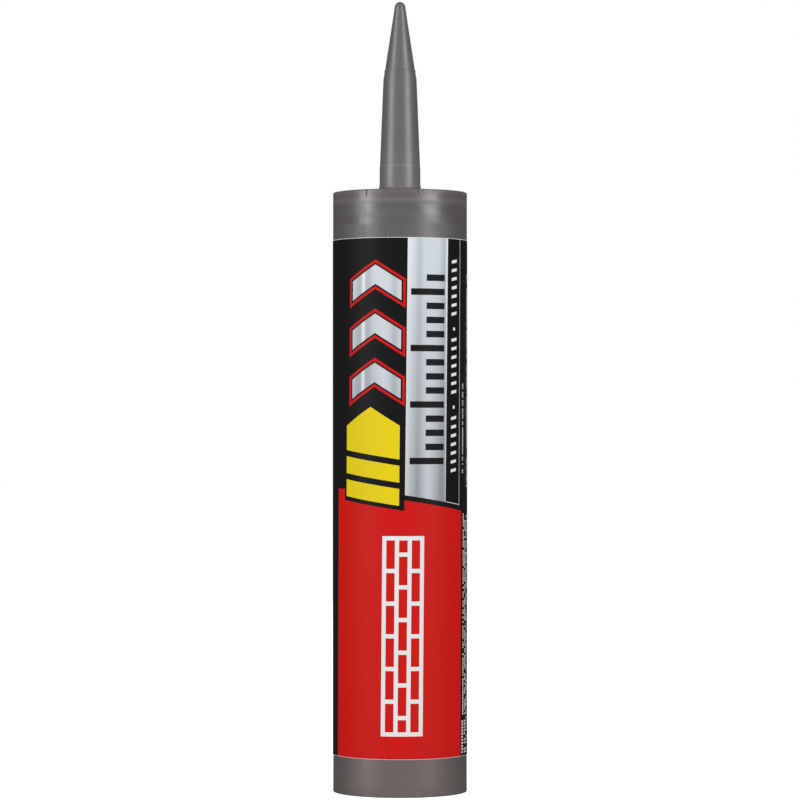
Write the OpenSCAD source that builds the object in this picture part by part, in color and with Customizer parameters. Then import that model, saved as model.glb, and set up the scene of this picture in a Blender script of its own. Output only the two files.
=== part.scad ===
// Construction adhesive cartridge: a moulded barrel with a recessed, ribbed shoulder and a
// closed nozzle in one piece, a wrap label, a sealing piston, the adhesive and a foil seal.
// It stands on its open rear rim. Z runs from the rear rim to the nozzle's tip, the axis is
// at X = Y = 0, and the middle of the label's front faces -Y. Millimetres.

/* [Barrel] */
// Outside diameter of the barrel
barrel_d = 48.3; // [47:0.1:52]
// Length from the rear rim to the front rim
barrel_len = 216; // [205:1:235]
// Wall of the barrel
barrel_wall = 1.05; // [0.9:0.05:1.6]
// Extra radius of the entry that takes the gun's ram plate
entry_relief = 0.3; // [0.1:0.05:0.5]
// Length of that entry
entry_len = 14; // [8:1:20]
// Round on the outer edge of the front rim
front_edge_r = 0.45; // [0.2:0.05:0.6]
// Round on the outer edge of the rear rim
rear_edge_r = 0.25; // [0.1:0.05:0.35]

/* [Shoulder] */
// Depth of the shoulder plate's face below the front rim
shoulder_recess = 3.6; // [2.6:0.1:6]
// Thickness of the shoulder plate
shoulder_t = 1.4; // [1:0.1:2.4]
// Number of ribs between the nozzle and the rim
rib_n = 8; // [4:1:12]
// Thickness of a rib
rib_t = 1; // [0.6:0.1:1.8]
// Depth of a rib's top below the front rim
rib_drop = 0.8; // [0.3:0.1:2]
// Turn of the first rib from the front, in degrees
rib_turn = 15.5; // [0:0.5:44]

/* [Nozzle] */
// Height of the low hub round the nozzle's foot
hub_h = 1.6; // [0.8:0.1:2]
// Radius of the fillet between the hub and the collar
root_r = 5; // [2:0.1:7]
// Diameter of the collar
collar_d = 14.7; // [13.6:0.1:17]
// Height of the collar's end above the front rim
collar_h = 9.2; // [7:0.1:14]
// Length of the slow cone above the collar
cone_len = 31.2; // [25:0.1:40]
// Diameter where the tip cone starts
break_d = 12; // [9:0.1:13]
// Length of the tip cone with its round end
tip_len = 28.3; // [18:0.1:40]
// Radius of the closed round end
tip_r = 1.9; // [1.3:0.1:2.6]
// Height of the ring step where the mould's parts met on the tip cone
parting_step = 0.1; // [0.05:0.05:0.25]
// Distance of that ring step from the start of the tip cone
parting_at = 2.9; // [1:0.1:6]
// Depth of the ring line that ends the collar
ring_line = 0.12; // [0.05:0.01:0.3]
// Wall of the nozzle
nozzle_wall = 1.3; // [0.9:0.1:1.8]
// Radius of the channel at the closed end
channel_tip_r = 0.8; // [0.4:0.1:1]
// Thickness of plastic that closes the end
tip_close = 2.2; // [1.5:0.1:5]

/* [Piston] */
// Length of the piston
piston_len = 20; // [12:0.5:28]
// Gap between the lips and the bore, on the radius
piston_gap = 0.08; // [0.02:0.01:0.1]
// Height of each sealing lip
lip_h = 2.4; // [1.2:0.1:4]
// Depth of the waist between the lips
waist_depth = 0.7; // [0.3:0.1:1.2]
// Wall of the piston's skirt
skirt_wall = 1.5; // [1:0.1:2.5]
// Thickness of the piston's face
face_t = 1.8; // [1:0.1:3]
// Outside diameter of the boss behind the face
boss_d = 11; // [7:0.5:18]
// Number of webs between the boss and the skirt
web_n = 6; // [3:1:10]
// Thickness of a web
web_t = 1.1; // [0.8:0.1:2]

/* [Filling] */
// Length of the column of adhesive
paste_len = 158.5; // [90:0.5:164]
// Gap between the adhesive and the bore, on the radius
paste_gap = 0.1; // [0.05:0.01:0.3]
// Thickness of the foil seal
foil_t = 0.1; // [0.05:0.05:0.3]
// Width of the foil's weld round the nozzle's hole
foil_weld = 3; // [1:0.1:8]

/* [Label] */
// Height of the label's lower edge above the rear rim
label_lo = 13.5; // [5:0.5:20]
// Length of the label along the barrel
label_len = 185.2; // [180:0.1:194]
// Thickness of the label's film
film_t = 0.1; // [0.08:0.01:0.2]
// Thickness of the print
ink_t = 0.05; // [0.05:0.01:0.1]
// Width of the unprinted line along the upper and lower edges
margin = 0.45; // [0.2:0.05:1.5]
// Width of the overlap at the seam
seam_w = 6; // [3:0.5:10]
// Turn of the seam from the front, in degrees
seam_turn = 205; // [190:1:255]
// Lean of the upright print lines, in degrees
print_lean = 0.5; // [0:0.1:1]

/* [Red field] */
// Width of the red field round the barrel
red_w = 56.6; // [50:0.2:60]
// Height of the shoulder of the red field above the print's foot
red_h = 91.3; // [70:0.1:93]
// Fall of its edge left of the step
fall_left = 3.85; // [0:0.05:5]
// Fall of its edge right of the step
fall_right = 3.1; // [0:0.05:5]
// Place of the step, right of the front
step_x = 1.6; // [-2:0.1:4]
// Width of the ear at the left end
ear_w = 4.6; // [2:0.1:6]
// Height of that ear
ear_h = 3.9; // [1:0.1:8]

/* [Brick panel] */
// Left end of the panel, from the front
panel_x = -6.2; // [-12:0.1:-2]
// Width of the panel
panel_w = 15.1; // [8:0.1:24]
// Height of the panel's foot above the print's foot
panel_lo = 7.8; // [3:0.1:12]
// Length of the panel along the barrel
panel_len = 70.8; // [40:0.1:72]
// Number of courses
course_n = 3; // [2:1:4]
// Number of bricks in a whole course
brick_n = 6; // [3:1:8]
// Width of the pale joints
joint_w = 1.5; // [0.8:0.1:1.8]

/* [Silver stripe] */
// Left edge of the stripe, from the front
silver_x = 1.9; // [0.5:0.1:4]
// Width of the stripe
silver_w = 16.2; // [12:0.1:17]
// Gap between the stripe and the red field
silver_gap = 1.85; // [1:0.05:4]
// Gap between the small marks and the thin upright rule
rule_gap = 2.4; // [1:0.1:3]
// Width of that rule
rule_w = 0.45; // [0.3:0.05:0.9]
// Number of gauge bars
bar_n = 14; // [6:1:14]
// Distance from one gauge bar to the next
bar_pitch = 5; // [4:0.1:5.4]
// Thickness of a gauge bar
bar_t = 2.3; // [1:0.1:3]
// Length of a long gauge bar
bar_long = 13.4; // [9:0.1:14.5]
// Length of a short gauge bar
bar_short = 7.6; // [4:0.1:9]
// Height of the lowest gauge bar above the red field's shoulder
bar_rise = 12.7; // [5:0.1:14]

/* [Yellow arrow] */
// Gap between the arrow's right end and the red field's step
arrow_inset = 1.9; // [1:0.1:3]
// Width of the arrow and its bars
arrow_w = 21.6; // [14:0.1:22]
// Height of the arrow's straight sides, at its left
arrow_side = 8.6; // [2:0.1:9]
// Thickness of a bar under the arrow
stripe_t = 6; // [3:0.1:7]
// Gap between two bars
stripe_gap = 2.2; // [1:0.1:3]
// Number of bars
stripe_n = 2; // [0:1:2]
// Gap between the lowest bar and the red field's step
arrow_gap = 1.5; // [0.8:0.1:4]

/* [Chevrons] */
// Gap between the chevrons' right ends and the silver stripe
chevron_inset = 0.5; // [0.3:0.1:2]
// Width of a chevron
chevron_w = 22; // [16:0.1:22.4]
// Slope of its arms and of the arrow's
chevron_slope = 0.62; // [0.4:0.01:0.65]
// Thickness of its arms
chevron_t = 10.4; // [6:0.1:12]
// Distance from one point to the next in the stack of arrow and chevrons
chevron_pitch = 17.4; // [14:0.1:17.6]
// Number of chevrons
chevron_n = 3; // [1:1:3]
// Width of the red line round a chevron
keyline = 0.9; // [0.5:0.1:1.2]
// Width of the black line inside the red one
inline = 0.6; // [0.3:0.1:1]

/* [Small print] */
// Gap between the silver stripe and the row of small marks
mark_gap = 2.2; // [1:0.1:2.6]
// Length of a small mark round the barrel
mark_len = 3; // [1.5:0.1:3.2]
// Thickness of a small mark
mark_t = 1.1; // [0.6:0.1:1.6]
// Distance from one small mark to the next
mark_pitch = 3.1; // [2.5:0.1:3.4]
// Number of small marks in a group
mark_n = 7; // [3:1:7]
// Number of groups
group_n = 3; // [1:1:3]
// Height of the lowest small mark above the red field's shoulder
mark_rise = 9.7; // [5:0.1:12]
// Gap between the red field and the block of fine print
fine_inset = 2.1; // [1:0.1:4]
// Number of rows of fine print
fine_n = 12; // [3:1:14]
// Distance from one row of fine print to the next
fine_pitch = 2.4; // [1.6:0.1:2.6]
// Thickness of a row
fine_t = 0.8; // [0.5:0.1:1.2]
// Length of a paragraph along the barrel
fine_len = 84; // [50:0.5:85]
// Gap between paragraphs and round the block
fine_gap = 5; // [3:0.5:8]

/* [Hidden] */
$fn = 96;

// Overshoot of a cutting solid past the face that it cuts
past = 1;

// Radii of the barrel's wall and of the label on it
barrel_r = barrel_d / 2;
bore_r = barrel_r - barrel_wall;
entry_r = bore_r + entry_relief;
film_r = barrel_r + film_t;
ink_r = film_r + ink_t;

// Heights of the shoulder
plate_top = barrel_len - shoulder_recess;
plate_under = plate_top - shoulder_t;
hub_top = plate_top + hub_h;

// Nozzle: the tip cone touches the round end, which fixes its half angle
collar_r = collar_d / 2;
collar_z = barrel_len + collar_h;
break_r = break_d / 2;
break_z = collar_z + cone_len;
tip_z = break_z + tip_len;
dome_z = tip_z - tip_r;
dome_reach = dome_z - break_z;
tip_angle = atan(break_r / dome_reach) - asin(tip_r / norm([break_r, dome_reach]));
channel_r = collar_r - nozzle_wall;

// Filling and piston, worked out downwards from the shoulder
foil_under = plate_under - foil_t;
piston_front = foil_under - paste_len;
piston_rear = piston_front - piston_len;
lip_r = bore_r - piston_gap;
waist_r = lip_r - waist_depth;

// Print area
print_lo = label_lo + margin;
print_hi = label_lo + label_len - margin;
label_mid = label_lo + label_len / 2;

// Places on the flat label, worked out to the right and to the left from the front
silver_end = silver_x + silver_w;
mark_x = silver_end + mark_gap;
rule_x = mark_x + mark_len + rule_gap;
fine_x = red_w / 2 + fine_inset;
fine_view = fine_x + (fine_n - 1) * fine_pitch / 2;
arrow_end = step_x - arrow_inset;
arrow_x = arrow_end - arrow_w;
chevron_x = silver_x - chevron_inset - chevron_w / 2;

// Angle at the axis, in degrees, of a length round the print
function turn_of(s) = s / ink_r * 180 / PI;

// A point of the flat label, s round the barrel from the front and h up from the print's
// foot, as seen square on from the side that faces the length "view" round the barrel
function seen(p, view) =
  let (z = print_lo + p[1], lean = (z - label_mid) * tan(print_lean))
  [ink_r * sin(turn_of(p[0] + lean - view)), z];

// Height of the red field's edge left and right of its step, above the print's foot
function edge_left(s) =
  red_h - fall_left * (s + red_w / 2 - ear_w) / (step_x + red_w / 2 - ear_w);
function edge_right(s) = red_h - fall_right * (s - step_x) / (red_w / 2 - step_x);

// Heights of the stack of bars, arrow and chevrons above the print's foot
arrow_base = stripe_n * (stripe_t + stripe_gap);
arrow_eaves = edge_left(arrow_x) + arrow_gap + arrow_base + arrow_side;
arrow_point = arrow_eaves + chevron_slope * arrow_w / 2;

// Corners of an upright rectangle on the flat label
function box_points(s, h, w, tall) = [[s, h], [s + w, h], [s + w, h + tall], [s, h + tall]];

// Corners of a chevron that points up, with its middle at s and its upper point at h
function chevron_points(s, h, w, t) =
  let (fall = chevron_slope * w / 2)
  [
    [s - w / 2, h - fall - t], [s, h - t], [s + w / 2, h - fall - t],
    [s + w / 2, h - fall], [s, h], [s - w / 2, h - fall]
  ];

// Takes the sharp corner off a profile at [x, z]; the corner points to [dx, dz]
module edge_round(x, z, r, dx, dz) {
  translate([x - dx * r, z - dz * r])
    mirror([dx < 0 ? 1 : 0, 0, 0])
      mirror([0, dz < 0 ? 1 : 0, 0])
        difference() {
          square(r + past);
          circle(r);
        }
}

// Half section of the barrel's wall with the ram's entry at its rear
module barrel_profile() {
  difference() {
    polygon([
      [entry_r, 0], [barrel_r, 0], [barrel_r, barrel_len], [bore_r, barrel_len],
      [bore_r, entry_len + entry_relief], [entry_r, entry_len]
    ]);
    edge_round(barrel_r, 0, rear_edge_r, 1, -1);
    edge_round(barrel_r, barrel_len, front_edge_r, 1, 1);
  }
}

// Half section of the shoulder plate and of the nozzle, filled in
module nozzle_profile() {
  tangent_z = dome_z + tip_r * sin(tip_angle);
  tangent_r = tip_r * cos(tip_angle);
  parting_z = break_z + parting_at;
  parting_r = break_r - parting_at * tan(tip_angle);
  polygon([
    [0, plate_under], [barrel_r - barrel_wall / 2, plate_under],
    [barrel_r - barrel_wall / 2, plate_top], [collar_r + root_r, plate_top],
    [collar_r + root_r, hub_top], [collar_r, hub_top], [collar_r, collar_z - ring_line],
    [collar_r - ring_line, collar_z], [break_r, break_z],
    [parting_r - parting_step, parting_z], [parting_r, parting_z + parting_step],
    [tangent_r, tangent_z], [0, tangent_z]
  ]);
  difference() {
    translate([collar_r - nozzle_wall, hub_top])
      square([nozzle_wall + root_r, root_r]);
    translate([collar_r + root_r, hub_top + root_r])
      circle(root_r);
  }
  intersection() {
    translate([0, dome_z])
      circle(tip_r);
    translate([0, dome_z])
      square(2 * tip_r);
  }
}

// Half section of the channel, from the shoulder's underside to the closed end
module channel_profile() {
  polygon([
    [0, plate_under - past], [channel_r, plate_under - past], [channel_r, collar_z],
    [break_r - nozzle_wall, break_z], [channel_tip_r, tip_z - tip_close],
    [0, tip_z - tip_close]
  ]);
}

module shoulder_rib() {
  translate([collar_r, -rib_t / 2, plate_top - shoulder_t / 2])
    cube([bore_r + barrel_wall / 2 - collar_r, rib_t,
          shoulder_recess + shoulder_t / 2 - rib_drop]);
}

// Barrel, shoulder and nozzle, moulded in one piece
module cartridge() {
  color("#66625f")
    difference() {
      union() {
        rotate_extrude()
          barrel_profile();
        rotate_extrude()
          nozzle_profile();
        for (i = [0 : rib_n - 1])
          rotate([0, 0, rib_turn - 90 + i * 360 / rib_n])
            shoulder_rib();
      }
      rotate_extrude()
        channel_profile();
    }
}

// Half section of the piston's face, skirt, lips and boss
module piston_profile() {
  boss_r = boss_d / 2;
  difference() {
    union() {
      translate([0, piston_rear])
        square([waist_r, piston_len]);
      translate([0, piston_rear])
        square([lip_r, lip_h]);
      translate([0, piston_front - lip_h])
        square([lip_r, lip_h]);
    }
    translate([boss_r, piston_rear - past])
      square([waist_r - skirt_wall - boss_r, piston_len - face_t + past]);
    translate([0, piston_rear - past])
      square([boss_r - skirt_wall, piston_len - face_t + past]);
  }
}

module piston_web() {
  translate([boss_d / 2 - skirt_wall / 2, -web_t / 2, piston_rear])
    cube([waist_r - boss_d / 2, web_t, piston_len - face_t / 2]);
}

module piston() {
  color("#d8d5cb") {
    rotate_extrude()
      piston_profile();
    for (i = [0 : web_n - 1])
      rotate([0, 0, i * 360 / web_n])
        piston_web();
  }
}

// The adhesive fills the bore between the piston's face and the foil
module adhesive() {
  color("#a39a86")
    translate([0, 0, piston_front])
      cylinder(h = paste_len, r = bore_r - paste_gap);
}

// Foil welded over the nozzle's hole, on the shoulder's underside
module inner_seal() {
  color("#c9ccd0")
    translate([0, 0, foil_under])
      cylinder(h = foil_t, r = channel_r + foil_weld);
}

// A full sleeve of thickness t round the axis, between two heights
module sleeve(r, t, lo, hi) {
  difference() {
    translate([0, 0, lo])
      cylinder(h = hi - lo, r = r + t);
    translate([0, 0, lo - past])
      cylinder(h = hi - lo + 2 * past, r = r);
  }
}

// The part of such a sleeve that lies in the seam's overlap
module lap(r, t, lo, hi) {
  half = turn_of(seam_w) / 2;
  rotate([0, 0, seam_turn - half - 90])
    rotate_extrude(angle = 2 * half)
      translate([r, lo])
        square([t, hi - lo]);
}

// Film once round the barrel, with its end lapped over its printed start
module label_film() {
  color("#e9e9e6") {
    sleeve(barrel_r, film_t, label_lo, label_lo + label_len);
    lap(ink_r, film_t, label_lo, label_lo + label_len);
  }
}

// Everything that the print can cover: round the film, and on the lapped end
module print_layer() {
  sleeve(film_r, ink_t, print_lo, print_hi);
  lap(ink_r + film_t, ink_t, print_lo, print_hi);
}

// A flat print shape, seen from the side that faces "view", carried in to the axis
module through(view) {
  rotate([0, 0, turn_of(view)])
    rotate([90, 0, 0])
      linear_extrude(height = ink_r + past)
        children();
}

module printed(view) {
  intersection() {
    print_layer();
    through(view)
      children();
  }
}

module flat_shape(points, view = 0) {
  polygon([for (p = points) seen(p, view)]);
}

module red_field() {
  half = red_w / 2;
  flat_shape([
    [-half, 0], [half, 0], [half, edge_right(half)], [step_x, edge_right(step_x)],
    [step_x, edge_left(step_x)], [ear_w - half, edge_left(ear_w - half)],
    [ear_w - half, red_h + ear_h], [-half, red_h + ear_h]
  ]);
}

module brick_panel() {
  flat_shape(box_points(panel_x, panel_lo, panel_w, panel_len));
}

// Red bricks in running bond, with their courses along the barrel
module bricks() {
  course_w = (panel_w - joint_w) / course_n;
  brick_len = (panel_len - joint_w) / brick_n;
  for (c = [0 : course_n - 1]) {
    shift = c % 2 == 0 ? 0 : brick_len / 2;
    for (b = [(c % 2 == 0 ? 0 : -1) : brick_n - 1]) {
      lo = max(0, b * brick_len + shift);
      hi = min(panel_len - joint_w, (b + 1) * brick_len + shift);
      flat_shape(box_points(panel_x + joint_w + c * course_w, panel_lo + joint_w + lo,
                            course_w - joint_w, hi - lo - joint_w));
    }
  }
}

module silver_stripe() {
  top = print_hi - print_lo;
  flat_shape([
    [silver_x, edge_right(silver_x) + silver_gap],
    [silver_end, edge_right(silver_end) + silver_gap], [silver_end, top], [silver_x, top]
  ]);
}

// Dark gauge bars on the stripe, every fourth one long
module gauge_bars() {
  right = silver_end - (silver_w - bar_long) / 2;
  for (i = [0 : bar_n - 1]) {
    len = i % 4 == 0 ? bar_long : bar_short;
    flat_shape(box_points(right - len, red_h + bar_rise + i * bar_pitch, len, bar_t));
  }
}

// Thin rule that runs down beside the stripe and turns in under it
module thin_rule() {
  outer = rule_x + rule_w;
  top = print_hi - print_lo;
  flat_shape([
    [rule_x, top], [rule_x, edge_right(rule_x) + silver_gap + rule_w],
    [silver_end, edge_right(silver_end) + silver_gap + rule_w],
    [silver_end, edge_right(silver_end) + silver_gap],
    [outer, edge_right(outer) + silver_gap], [outer, top]
  ]);
}

// Arrow over its bars, all cut parallel to the edge of the red field's step
module yellow_arrow() {
  left_foot = edge_left(arrow_x) + arrow_gap;
  right_foot = edge_left(arrow_end) + arrow_gap;
  for (i = [0 : 1 : stripe_n - 1]) {
    lo = i * (stripe_t + stripe_gap);
    flat_shape([
      [arrow_x, left_foot + lo], [arrow_end, right_foot + lo],
      [arrow_end, right_foot + lo + stripe_t], [arrow_x, left_foot + lo + stripe_t]
    ]);
  }
  flat_shape([
    [arrow_x, left_foot + arrow_base], [arrow_end, right_foot + arrow_base],
    [arrow_end, arrow_eaves], [(arrow_x + arrow_end) / 2, arrow_point], [arrow_x, arrow_eaves]
  ]);
}

// Chevrons, each drawn in by "inset" from its outer edge
module chevrons(inset) {
  slant = norm([1, chevron_slope]);
  for (i = [0 : chevron_n - 1])
    flat_shape(chevron_points(chevron_x, arrow_point + (i + 1) * chevron_pitch - inset * slant,
                              chevron_w - 2 * inset, chevron_t - 2 * inset * slant));
}

// Small slanted marks in groups, with a square between two groups
module small_marks() {
  group = (mark_n + 2) * mark_pitch;
  for (g = [0 : group_n - 1]) {
    lo = red_h + mark_rise + g * group;
    for (i = [0 : mark_n - 1]) {
      h = lo + i * mark_pitch;
      flat_shape([[mark_x, h], [mark_x + mark_len, h + mark_t / 2],
                  [mark_x + mark_len, h + mark_t * 1.5], [mark_x, h + mark_t]]);
    }
    if (g < group_n - 1)
      flat_shape(box_points(mark_x + (mark_len - mark_t) / 2,
                            lo + (mark_n + 0.5) * mark_pitch - mark_t / 2, mark_t, mark_t));
  }
}

// Rows of fine print in two paragraphs
module fine_print() {
  for (i = [0 : fine_n - 1], p = [0, 1])
    flat_shape(box_points(fine_x + i * fine_pitch, fine_gap + p * (fine_len + fine_gap),
                          fine_t, fine_len), fine_view);
}

module ink_black() {
  color("#211f20") {
    difference() {
      print_layer();
      through(0) {
        red_field();
        silver_stripe();
        thin_rule();
        yellow_arrow();
        chevrons(0);
        small_marks();
      }
      through(fine_view)
        fine_print();
    }
    printed(0) {
      gauge_bars();
      difference() {
        chevrons(keyline);
        chevrons(keyline + inline);
      }
    }
  }
}

module ink_red() {
  color("#c9211e")
    printed(0) {
      difference() {
        red_field();
        brick_panel();
      }
      bricks();
      difference() {
        chevrons(0);
        chevrons(keyline);
      }
    }
}

module ink_silver() {
  color("#c6cace")
    printed(0) {
      difference() {
        silver_stripe();
        gauge_bars();
      }
      chevrons(keyline + inline);
    }
}

module ink_yellow() {
  color("#e4d22a")
    printed(0)
      yellow_arrow();
}

module ink_white() {
  color("#ecebea") {
    printed(0) {
      difference() {
        brick_panel();
        bricks();
      }
      thin_rule();
      small_marks();
    }
    printed(fine_view)
      fine_print();
  }
}

cartridge();
piston();
adhesive();
inner_seal();
label_film();
ink_black();
ink_red();
ink_silver();
ink_yellow();
ink_white();
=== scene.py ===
# %% [markdown]
# # A construction adhesive cartridge
#
# The object is the tube that a caulking gun pushes: a grey moulded barrel with a closed
# nozzle, a wrap label, a piston behind the adhesive, and a foil over the nozzle's foot.
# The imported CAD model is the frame. It gives the sizes and says which body each piece
# moves with, and this script dresses it with finer shapes and real finishes.
#
# The part's sizes below are in millimetres, as on a maker's drawing, and are turned to
# metres when a mesh is written. The camera and the lamps are placed in metres.

# %% Load the frame
import math

import bmesh
import bpy
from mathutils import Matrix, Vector


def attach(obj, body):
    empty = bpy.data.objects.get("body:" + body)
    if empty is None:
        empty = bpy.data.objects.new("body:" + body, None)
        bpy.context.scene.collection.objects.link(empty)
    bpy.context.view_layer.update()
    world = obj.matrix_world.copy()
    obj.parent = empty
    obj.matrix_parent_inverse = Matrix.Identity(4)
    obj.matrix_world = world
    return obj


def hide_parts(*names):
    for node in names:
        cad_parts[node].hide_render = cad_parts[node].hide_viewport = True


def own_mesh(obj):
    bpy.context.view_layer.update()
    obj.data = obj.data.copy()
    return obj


MM = 0.001

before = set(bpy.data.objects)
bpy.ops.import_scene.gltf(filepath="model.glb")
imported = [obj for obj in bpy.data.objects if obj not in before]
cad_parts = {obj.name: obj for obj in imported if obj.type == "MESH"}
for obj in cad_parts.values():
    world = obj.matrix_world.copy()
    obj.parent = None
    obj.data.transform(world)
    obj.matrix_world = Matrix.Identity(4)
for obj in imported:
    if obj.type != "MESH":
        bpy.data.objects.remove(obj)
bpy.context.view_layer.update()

# %% [markdown]
# ## Camera
#
# The photograph was taken square on, from about 1.2 m, with a long lens a little under
# half the object's height. So upright lines stay upright, and the rims hardly curve.

# %% Camera
camera = bpy.data.objects.new("camera", bpy.data.cameras.new("camera"))
bpy.context.collection.objects.link(camera)
bpy.context.scene.camera = camera
camera.data.sensor_width = 36
camera.data.lens = 150.5
camera.location = (0, -1.207, 0.131)
aim = Vector((0, 0, 0.1409)) - camera.location
camera.rotation_euler = aim.to_track_quat("-Z", "Y").to_euler()
print("camera looks up by", round(math.degrees(math.atan2(aim.z, aim.y)), 2), "degrees")


# %% [markdown]
# ## Small helpers for node trees
#
# Colours are written as the sRGB hex values that a paint chart would give, and one
# function makes them linear, which is what Blender's sockets take. Another adds a node
# with its settings and inputs, so that a tree reads from top to bottom. Most nodes are
# wanted for their first output only, and `put` gives that.

# %% Colour and node helpers
def linear(hex_colour):
    """An sRGB hex colour as linear RGBA."""
    parts = [int(hex_colour[i:i + 2], 16) / 255 for i in (1, 3, 5)]
    return (*[v / 12.92 if v <= 0.04045 else ((v + 0.055) / 1.055) ** 2.4 for v in parts], 1)


def add(tree, kind, inputs=None, **settings):
    """Adds a node. Inputs are values or sockets, by the input's name or number."""
    node = tree.nodes.new(kind)
    for name, value in settings.items():
        setattr(node, name, value)
    for key, value in (inputs or {}).items():
        if isinstance(value, bpy.types.NodeSocket):
            tree.links.new(value, node.inputs[key])
        else:
            node.inputs[key].default_value = value
    return node


def put(tree, kind, inputs=None, **settings):
    """Adds a node and gives its first output."""
    return add(tree, kind, inputs, **settings).outputs[0]


# %% [markdown]
# ## A start for every finish
#
# Each material is one Principled shader. Its plain numbers, such as roughness and IOR,
# are set on the shader's own sockets, and only colour, roughness and bump get patterns.

# %% Start a material
def new_finish(name, **numbers):
    """A material with its Principled shader. Numbers are shader inputs, with _ for spaces."""
    finish = bpy.data.materials.new(name)
    finish.use_nodes = True
    shader = finish.node_tree.nodes["Principled BSDF"]
    for key, value in numbers.items():
        shader.inputs[key.replace("_", " ")].default_value = value
    return finish, finish.node_tree, shader


def connect(tree, shader, **sockets):
    for key, value in sockets.items():
        tree.links.new(value, shader.inputs[key.replace("_", " ")])


# %% [markdown]
# ## The mould's sizes
#
# They repeat the CAD source, because this script can't read it, but for the front rim: the
# photograph has it 0.4 mm lower. The barrel, the shoulder and the nozzle are one moulding,
# so one half section describes them all.

# %% Sizes of the moulding
barrel_r, bore_r, entry_r, rim_z = 24.15, 23.1, 23.4, 215.6
entry_len, entry_relief = 14.0, 0.3
plate_top, plate_under, hub_top = 212.4, 211.0, 214.0
collar_r, root_r, collar_z = 7.35, 5.0, 225.2
break_r, break_z, tip_r, tip_z = 6.0, 256.4, 1.9, 284.7
ring_line, parting_at, parting_step = 0.12, 2.9, 0.1
channel_r, nozzle_wall, channel_tip_r, tip_close = 6.05, 1.3, 0.8, 2.2
rib_count, rib_turn, rib_t, rib_top = 8, 15.5, 1.0, 215.2
foot_round, rim_round, lip_round, plate_round, hub_round = 0.25, 0.45, 0.2, 0.6, 0.3

# Half angle of the tip cone, which touches the round end
dome_z = tip_z - tip_r
dome_reach = dome_z - break_z
tip_angle = math.atan(break_r / dome_reach) - math.asin(tip_r / math.hypot(break_r, dome_reach))

# %% [markdown]
# ## Finish: grey polyethylene
#
# HDPE with grey masterbatch, injection moulded in a polished tool: IOR 1.54 and satin.
# The wall is only a millimetre thick and lets a little light in, and that light is painted into the
# colour: a painted light band at the shoulder plate, painted shade lines at the ribs behind it, and a
# lighter, warmer painted glow in the thin rim. The wall shrinks over the plate and the ribs as it cools,
# and the softbox reflections turn blotchy there. More painted light lies on the nozzle, its root and the
# front of the foot, with a painted highlight at the collar and painted shade at the gate mark. The real
# surface grain is near 0.1 mm, drawn here at 0.35 mm so that it can show.


# %% Grey polyethylene
def times(tree, *values):
    """The product of sockets and numbers."""
    product = values[0]
    for value in values[1:]:
        product = put(tree, "ShaderNodeMath", {0: product, 1: value}, operation="MULTIPLY")
    return product


def total(tree, *values):
    """The sum of sockets and numbers."""
    result = values[0]
    for value in values[1:]:
        result = put(tree, "ShaderNodeMath", {0: result, 1: value})
    return result


def band(tree, value, centre, half_width):
    """1 at the centre, falling smoothly to 0 at half_width on both sides."""
    off = put(tree, "ShaderNodeMath", {0: total(tree, value, -centre)}, operation="ABSOLUTE")
    return ramp(tree, off, 0.0, half_width, 1.0, 0.0, interpolation_type="SMOOTHSTEP")


def tinted(tree, base, share, colour):
    """The base colour with another colour laid over it by a share."""
    return add(tree, "ShaderNodeMix", {"Factor": share, 6: base, 7: colour}, data_type="RGBA").outputs[2]


def noise(tree, where, size, detail=2.0, stretch=(1, 1, 1)):
    """Noise whose blotches are about as wide as size, in mm."""
    spread = [k / (size * MM) for k in stretch]
    place = put(tree, "ShaderNodeMapping", {"Vector": where, "Scale": spread})
    return put(tree, "ShaderNodeTexNoise", {"Vector": place, "Scale": 1.0, "Detail": detail})


def ramp(tree, value, low, high, start, end, **settings):
    """Value from low to high becomes start to end, and stays there beyond."""
    return put(tree, "ShaderNodeMapRange", {"Value": value, "From Min": low, "From Max": high,
                                            "To Min": start, "To Max": end}, **settings)


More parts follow.
